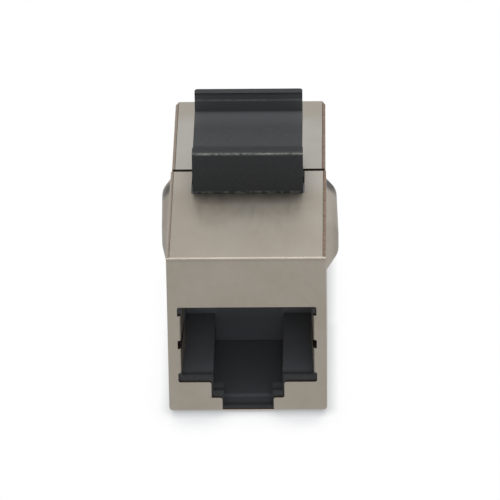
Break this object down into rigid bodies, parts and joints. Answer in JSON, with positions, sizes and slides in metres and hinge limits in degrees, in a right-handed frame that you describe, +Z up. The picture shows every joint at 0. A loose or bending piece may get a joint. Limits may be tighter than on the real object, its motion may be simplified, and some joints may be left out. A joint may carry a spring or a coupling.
{
  "type": "rj45 inline coupler",
  "caption": "Shielded keystone-style inline coupler: a stepped modular jack in each end of a folded plated shell, side ground bulges and a moulded snap latch on top.",
  "frame": {"origin": "centre of the underside of the shell, halfway between the two port faces", "axes": "+Y along the coupler from the front port to the rear port, +Z up to the latch, +X across the ports"},
  "size_m": [0.0164, 0.0326, 0.0216],
  "materials": {
    "plated_sheet": "satin nickel plate over copper alloy, bare copper at cut edges",
    "jack_moulding": "black, fine satin",
    "insert_moulding": "black, fine satin",
    "contact_plating": "bright gold plate",
    "board_laminate": "green solder mask",
    "latch_moulding": "black, satin, rubbed pale at the crest"
  },
  "bodies": {
    "coupler_body": {"front_shield": "plated_sheet", "rear_shield": "plated_sheet", "front_jack_housing": "jack_moulding", "rear_jack_housing": "jack_moulding", "front_contact_carrier": "insert_moulding", "rear_contact_carrier": "insert_moulding", "circuit_board": "board_laminate", "front_contact_1": "contact_plating", "front_contact_2": "contact_plating", "front_contact_3": "contact_plating", "front_contact_4": "contact_plating", "front_contact_5": "contact_plating", "front_contact_6": "contact_plating", "front_contact_7": "contact_plating", "front_contact_8": "contact_plating", "rear_contact_1": "contact_plating", "rear_contact_2": "contact_plating", "rear_contact_3": "contact_plating", "rear_contact_4": "contact_plating", "rear_contact_5": "contact_plating", "rear_contact_6": "contact_plating", "rear_contact_7": "contact_plating", "rear_contact_8": "contact_plating"},
    "latch_clip": {"latch": "latch_moulding"}
  },
  "joints": [
    {"name": "latch_release", "type": "hinge", "parent": "coupler_body", "child": "latch_clip", "pos_m": [0, -0.00235, 0.015], "axis": [-1, 0, 0], "range_deg": [0, 7], "stiffness_Nm_per_rad": 0.05, "springref_deg": -2.86}
  ]
}
